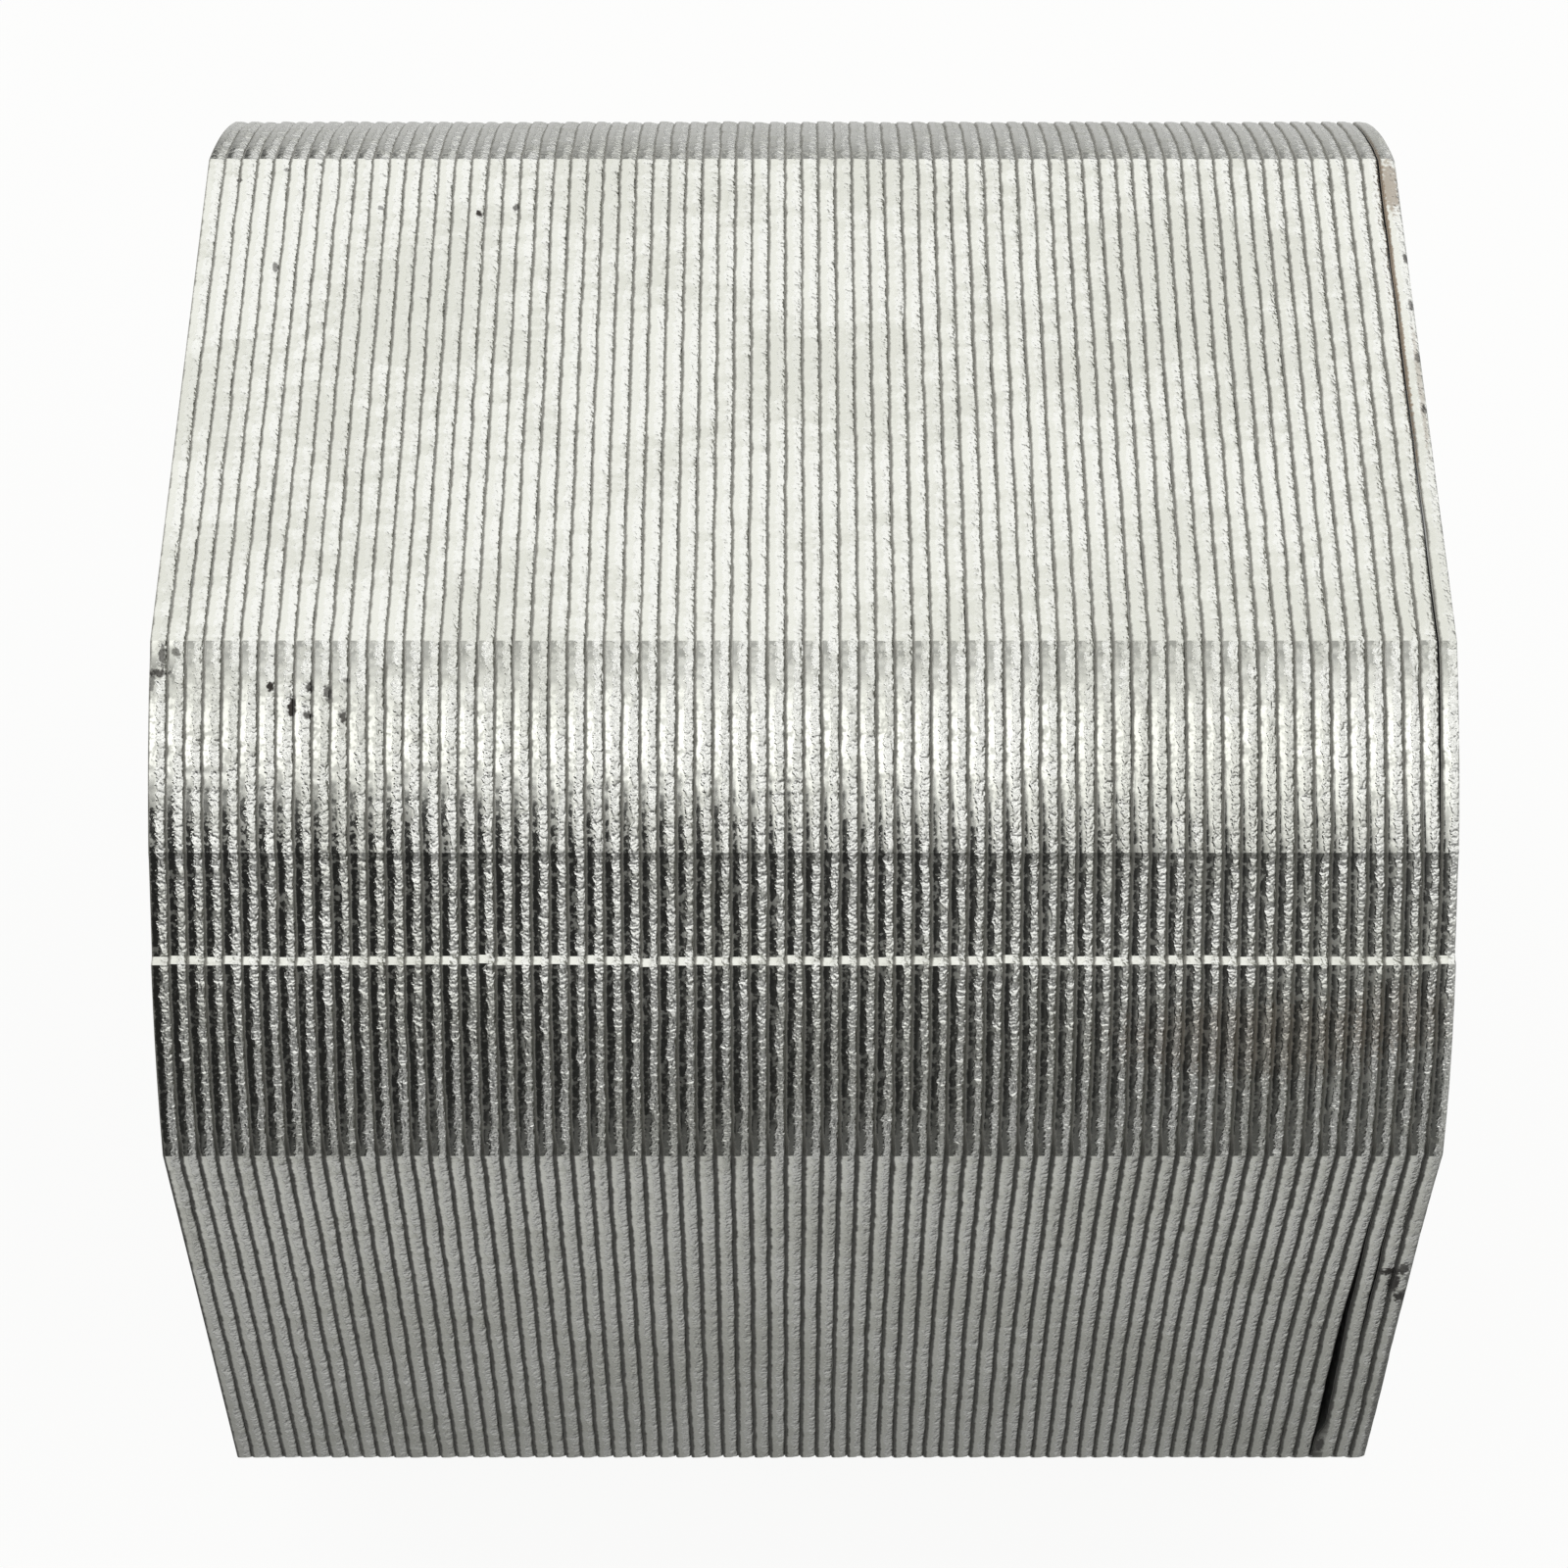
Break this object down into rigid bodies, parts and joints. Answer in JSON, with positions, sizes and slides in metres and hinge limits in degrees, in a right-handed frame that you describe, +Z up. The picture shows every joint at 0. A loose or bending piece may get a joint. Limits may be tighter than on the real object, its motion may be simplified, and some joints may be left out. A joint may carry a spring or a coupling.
{
  "type": "stator lamination stack",
  "caption": "Square motor stator core with rounded, notched corners, built of thin punched steel sheets around a toothed rotor opening.",
  "frame": {"origin": "under the middle of the stack, on the surface that it lies on", "axes": "X runs along the stack from the left end sheet to the right one, Y from front to back, Z up from the flat that the stack lies on"},
  "size_m": [0.0384, 0.042, 0.042],
  "materials": {
    "electrical_steel": "bare punched edges, part burnished and part torn"
  },
  "bodies": {
    "root": {"lamination_01": "electrical_steel", "lamination_02": "electrical_steel", "lamination_03": "electrical_steel", "lamination_04": "electrical_steel", "lamination_05": "electrical_steel", "lamination_06": "electrical_steel", "lamination_07": "electrical_steel", "lamination_08": "electrical_steel", "lamination_09": "electrical_steel", "lamination_10": "electrical_steel", "lamination_11": "electrical_steel", "lamination_12": "electrical_steel", "lamination_13": "electrical_steel", "lamination_14": "electrical_steel", "lamination_15": "electrical_steel", "lamination_16": "electrical_steel", "lamination_17": "electrical_steel", "lamination_18": "electrical_steel", "lamination_19": "electrical_steel", "lamination_20": "electrical_steel", "lamination_21": "electrical_steel", "lamination_22": "electrical_steel", "lamination_23": "electrical_steel", "lamination_24": "electrical_steel", "lamination_25_26": "electrical_steel", "lamination_27_28": "electrical_steel", "lamination_29_30": "electrical_steel", "lamination_31_32": "electrical_steel", "lamination_33_34": "electrical_steel", "lamination_35_36": "electrical_steel", "lamination_37_38": "electrical_steel", "lamination_39_40": "electrical_steel", "lamination_41_42": "electrical_steel", "lamination_43_44": "electrical_steel", "lamination_45_46": "electrical_steel", "lamination_47_48": "electrical_steel", "lamination_49": "electrical_steel", "lamination_50": "electrical_steel", "lamination_51": "electrical_steel", "lamination_52": "electrical_steel", "lamination_53": "electrical_steel", "lamination_54": "electrical_steel", "lamination_55": "electrical_steel", "lamination_56": "electrical_steel", "lamination_57": "electrical_steel", "lamination_58": "electrical_steel", "lamination_59": "electrical_steel", "lamination_60": "electrical_steel", "lamination_61": "electrical_steel", "lamination_62": "electrical_steel", "lamination_63": "electrical_steel", "lamination_64": "electrical_steel", "lamination_65": "electrical_steel", "lamination_66": "electrical_steel", "lamination_67": "electrical_steel", "lamination_68": "electrical_steel", "lamination_69": "electrical_steel", "lamination_70": "electrical_steel", "lamination_71": "electrical_steel", "lamination_72": "electrical_steel"}
  },
  "joints": []
}
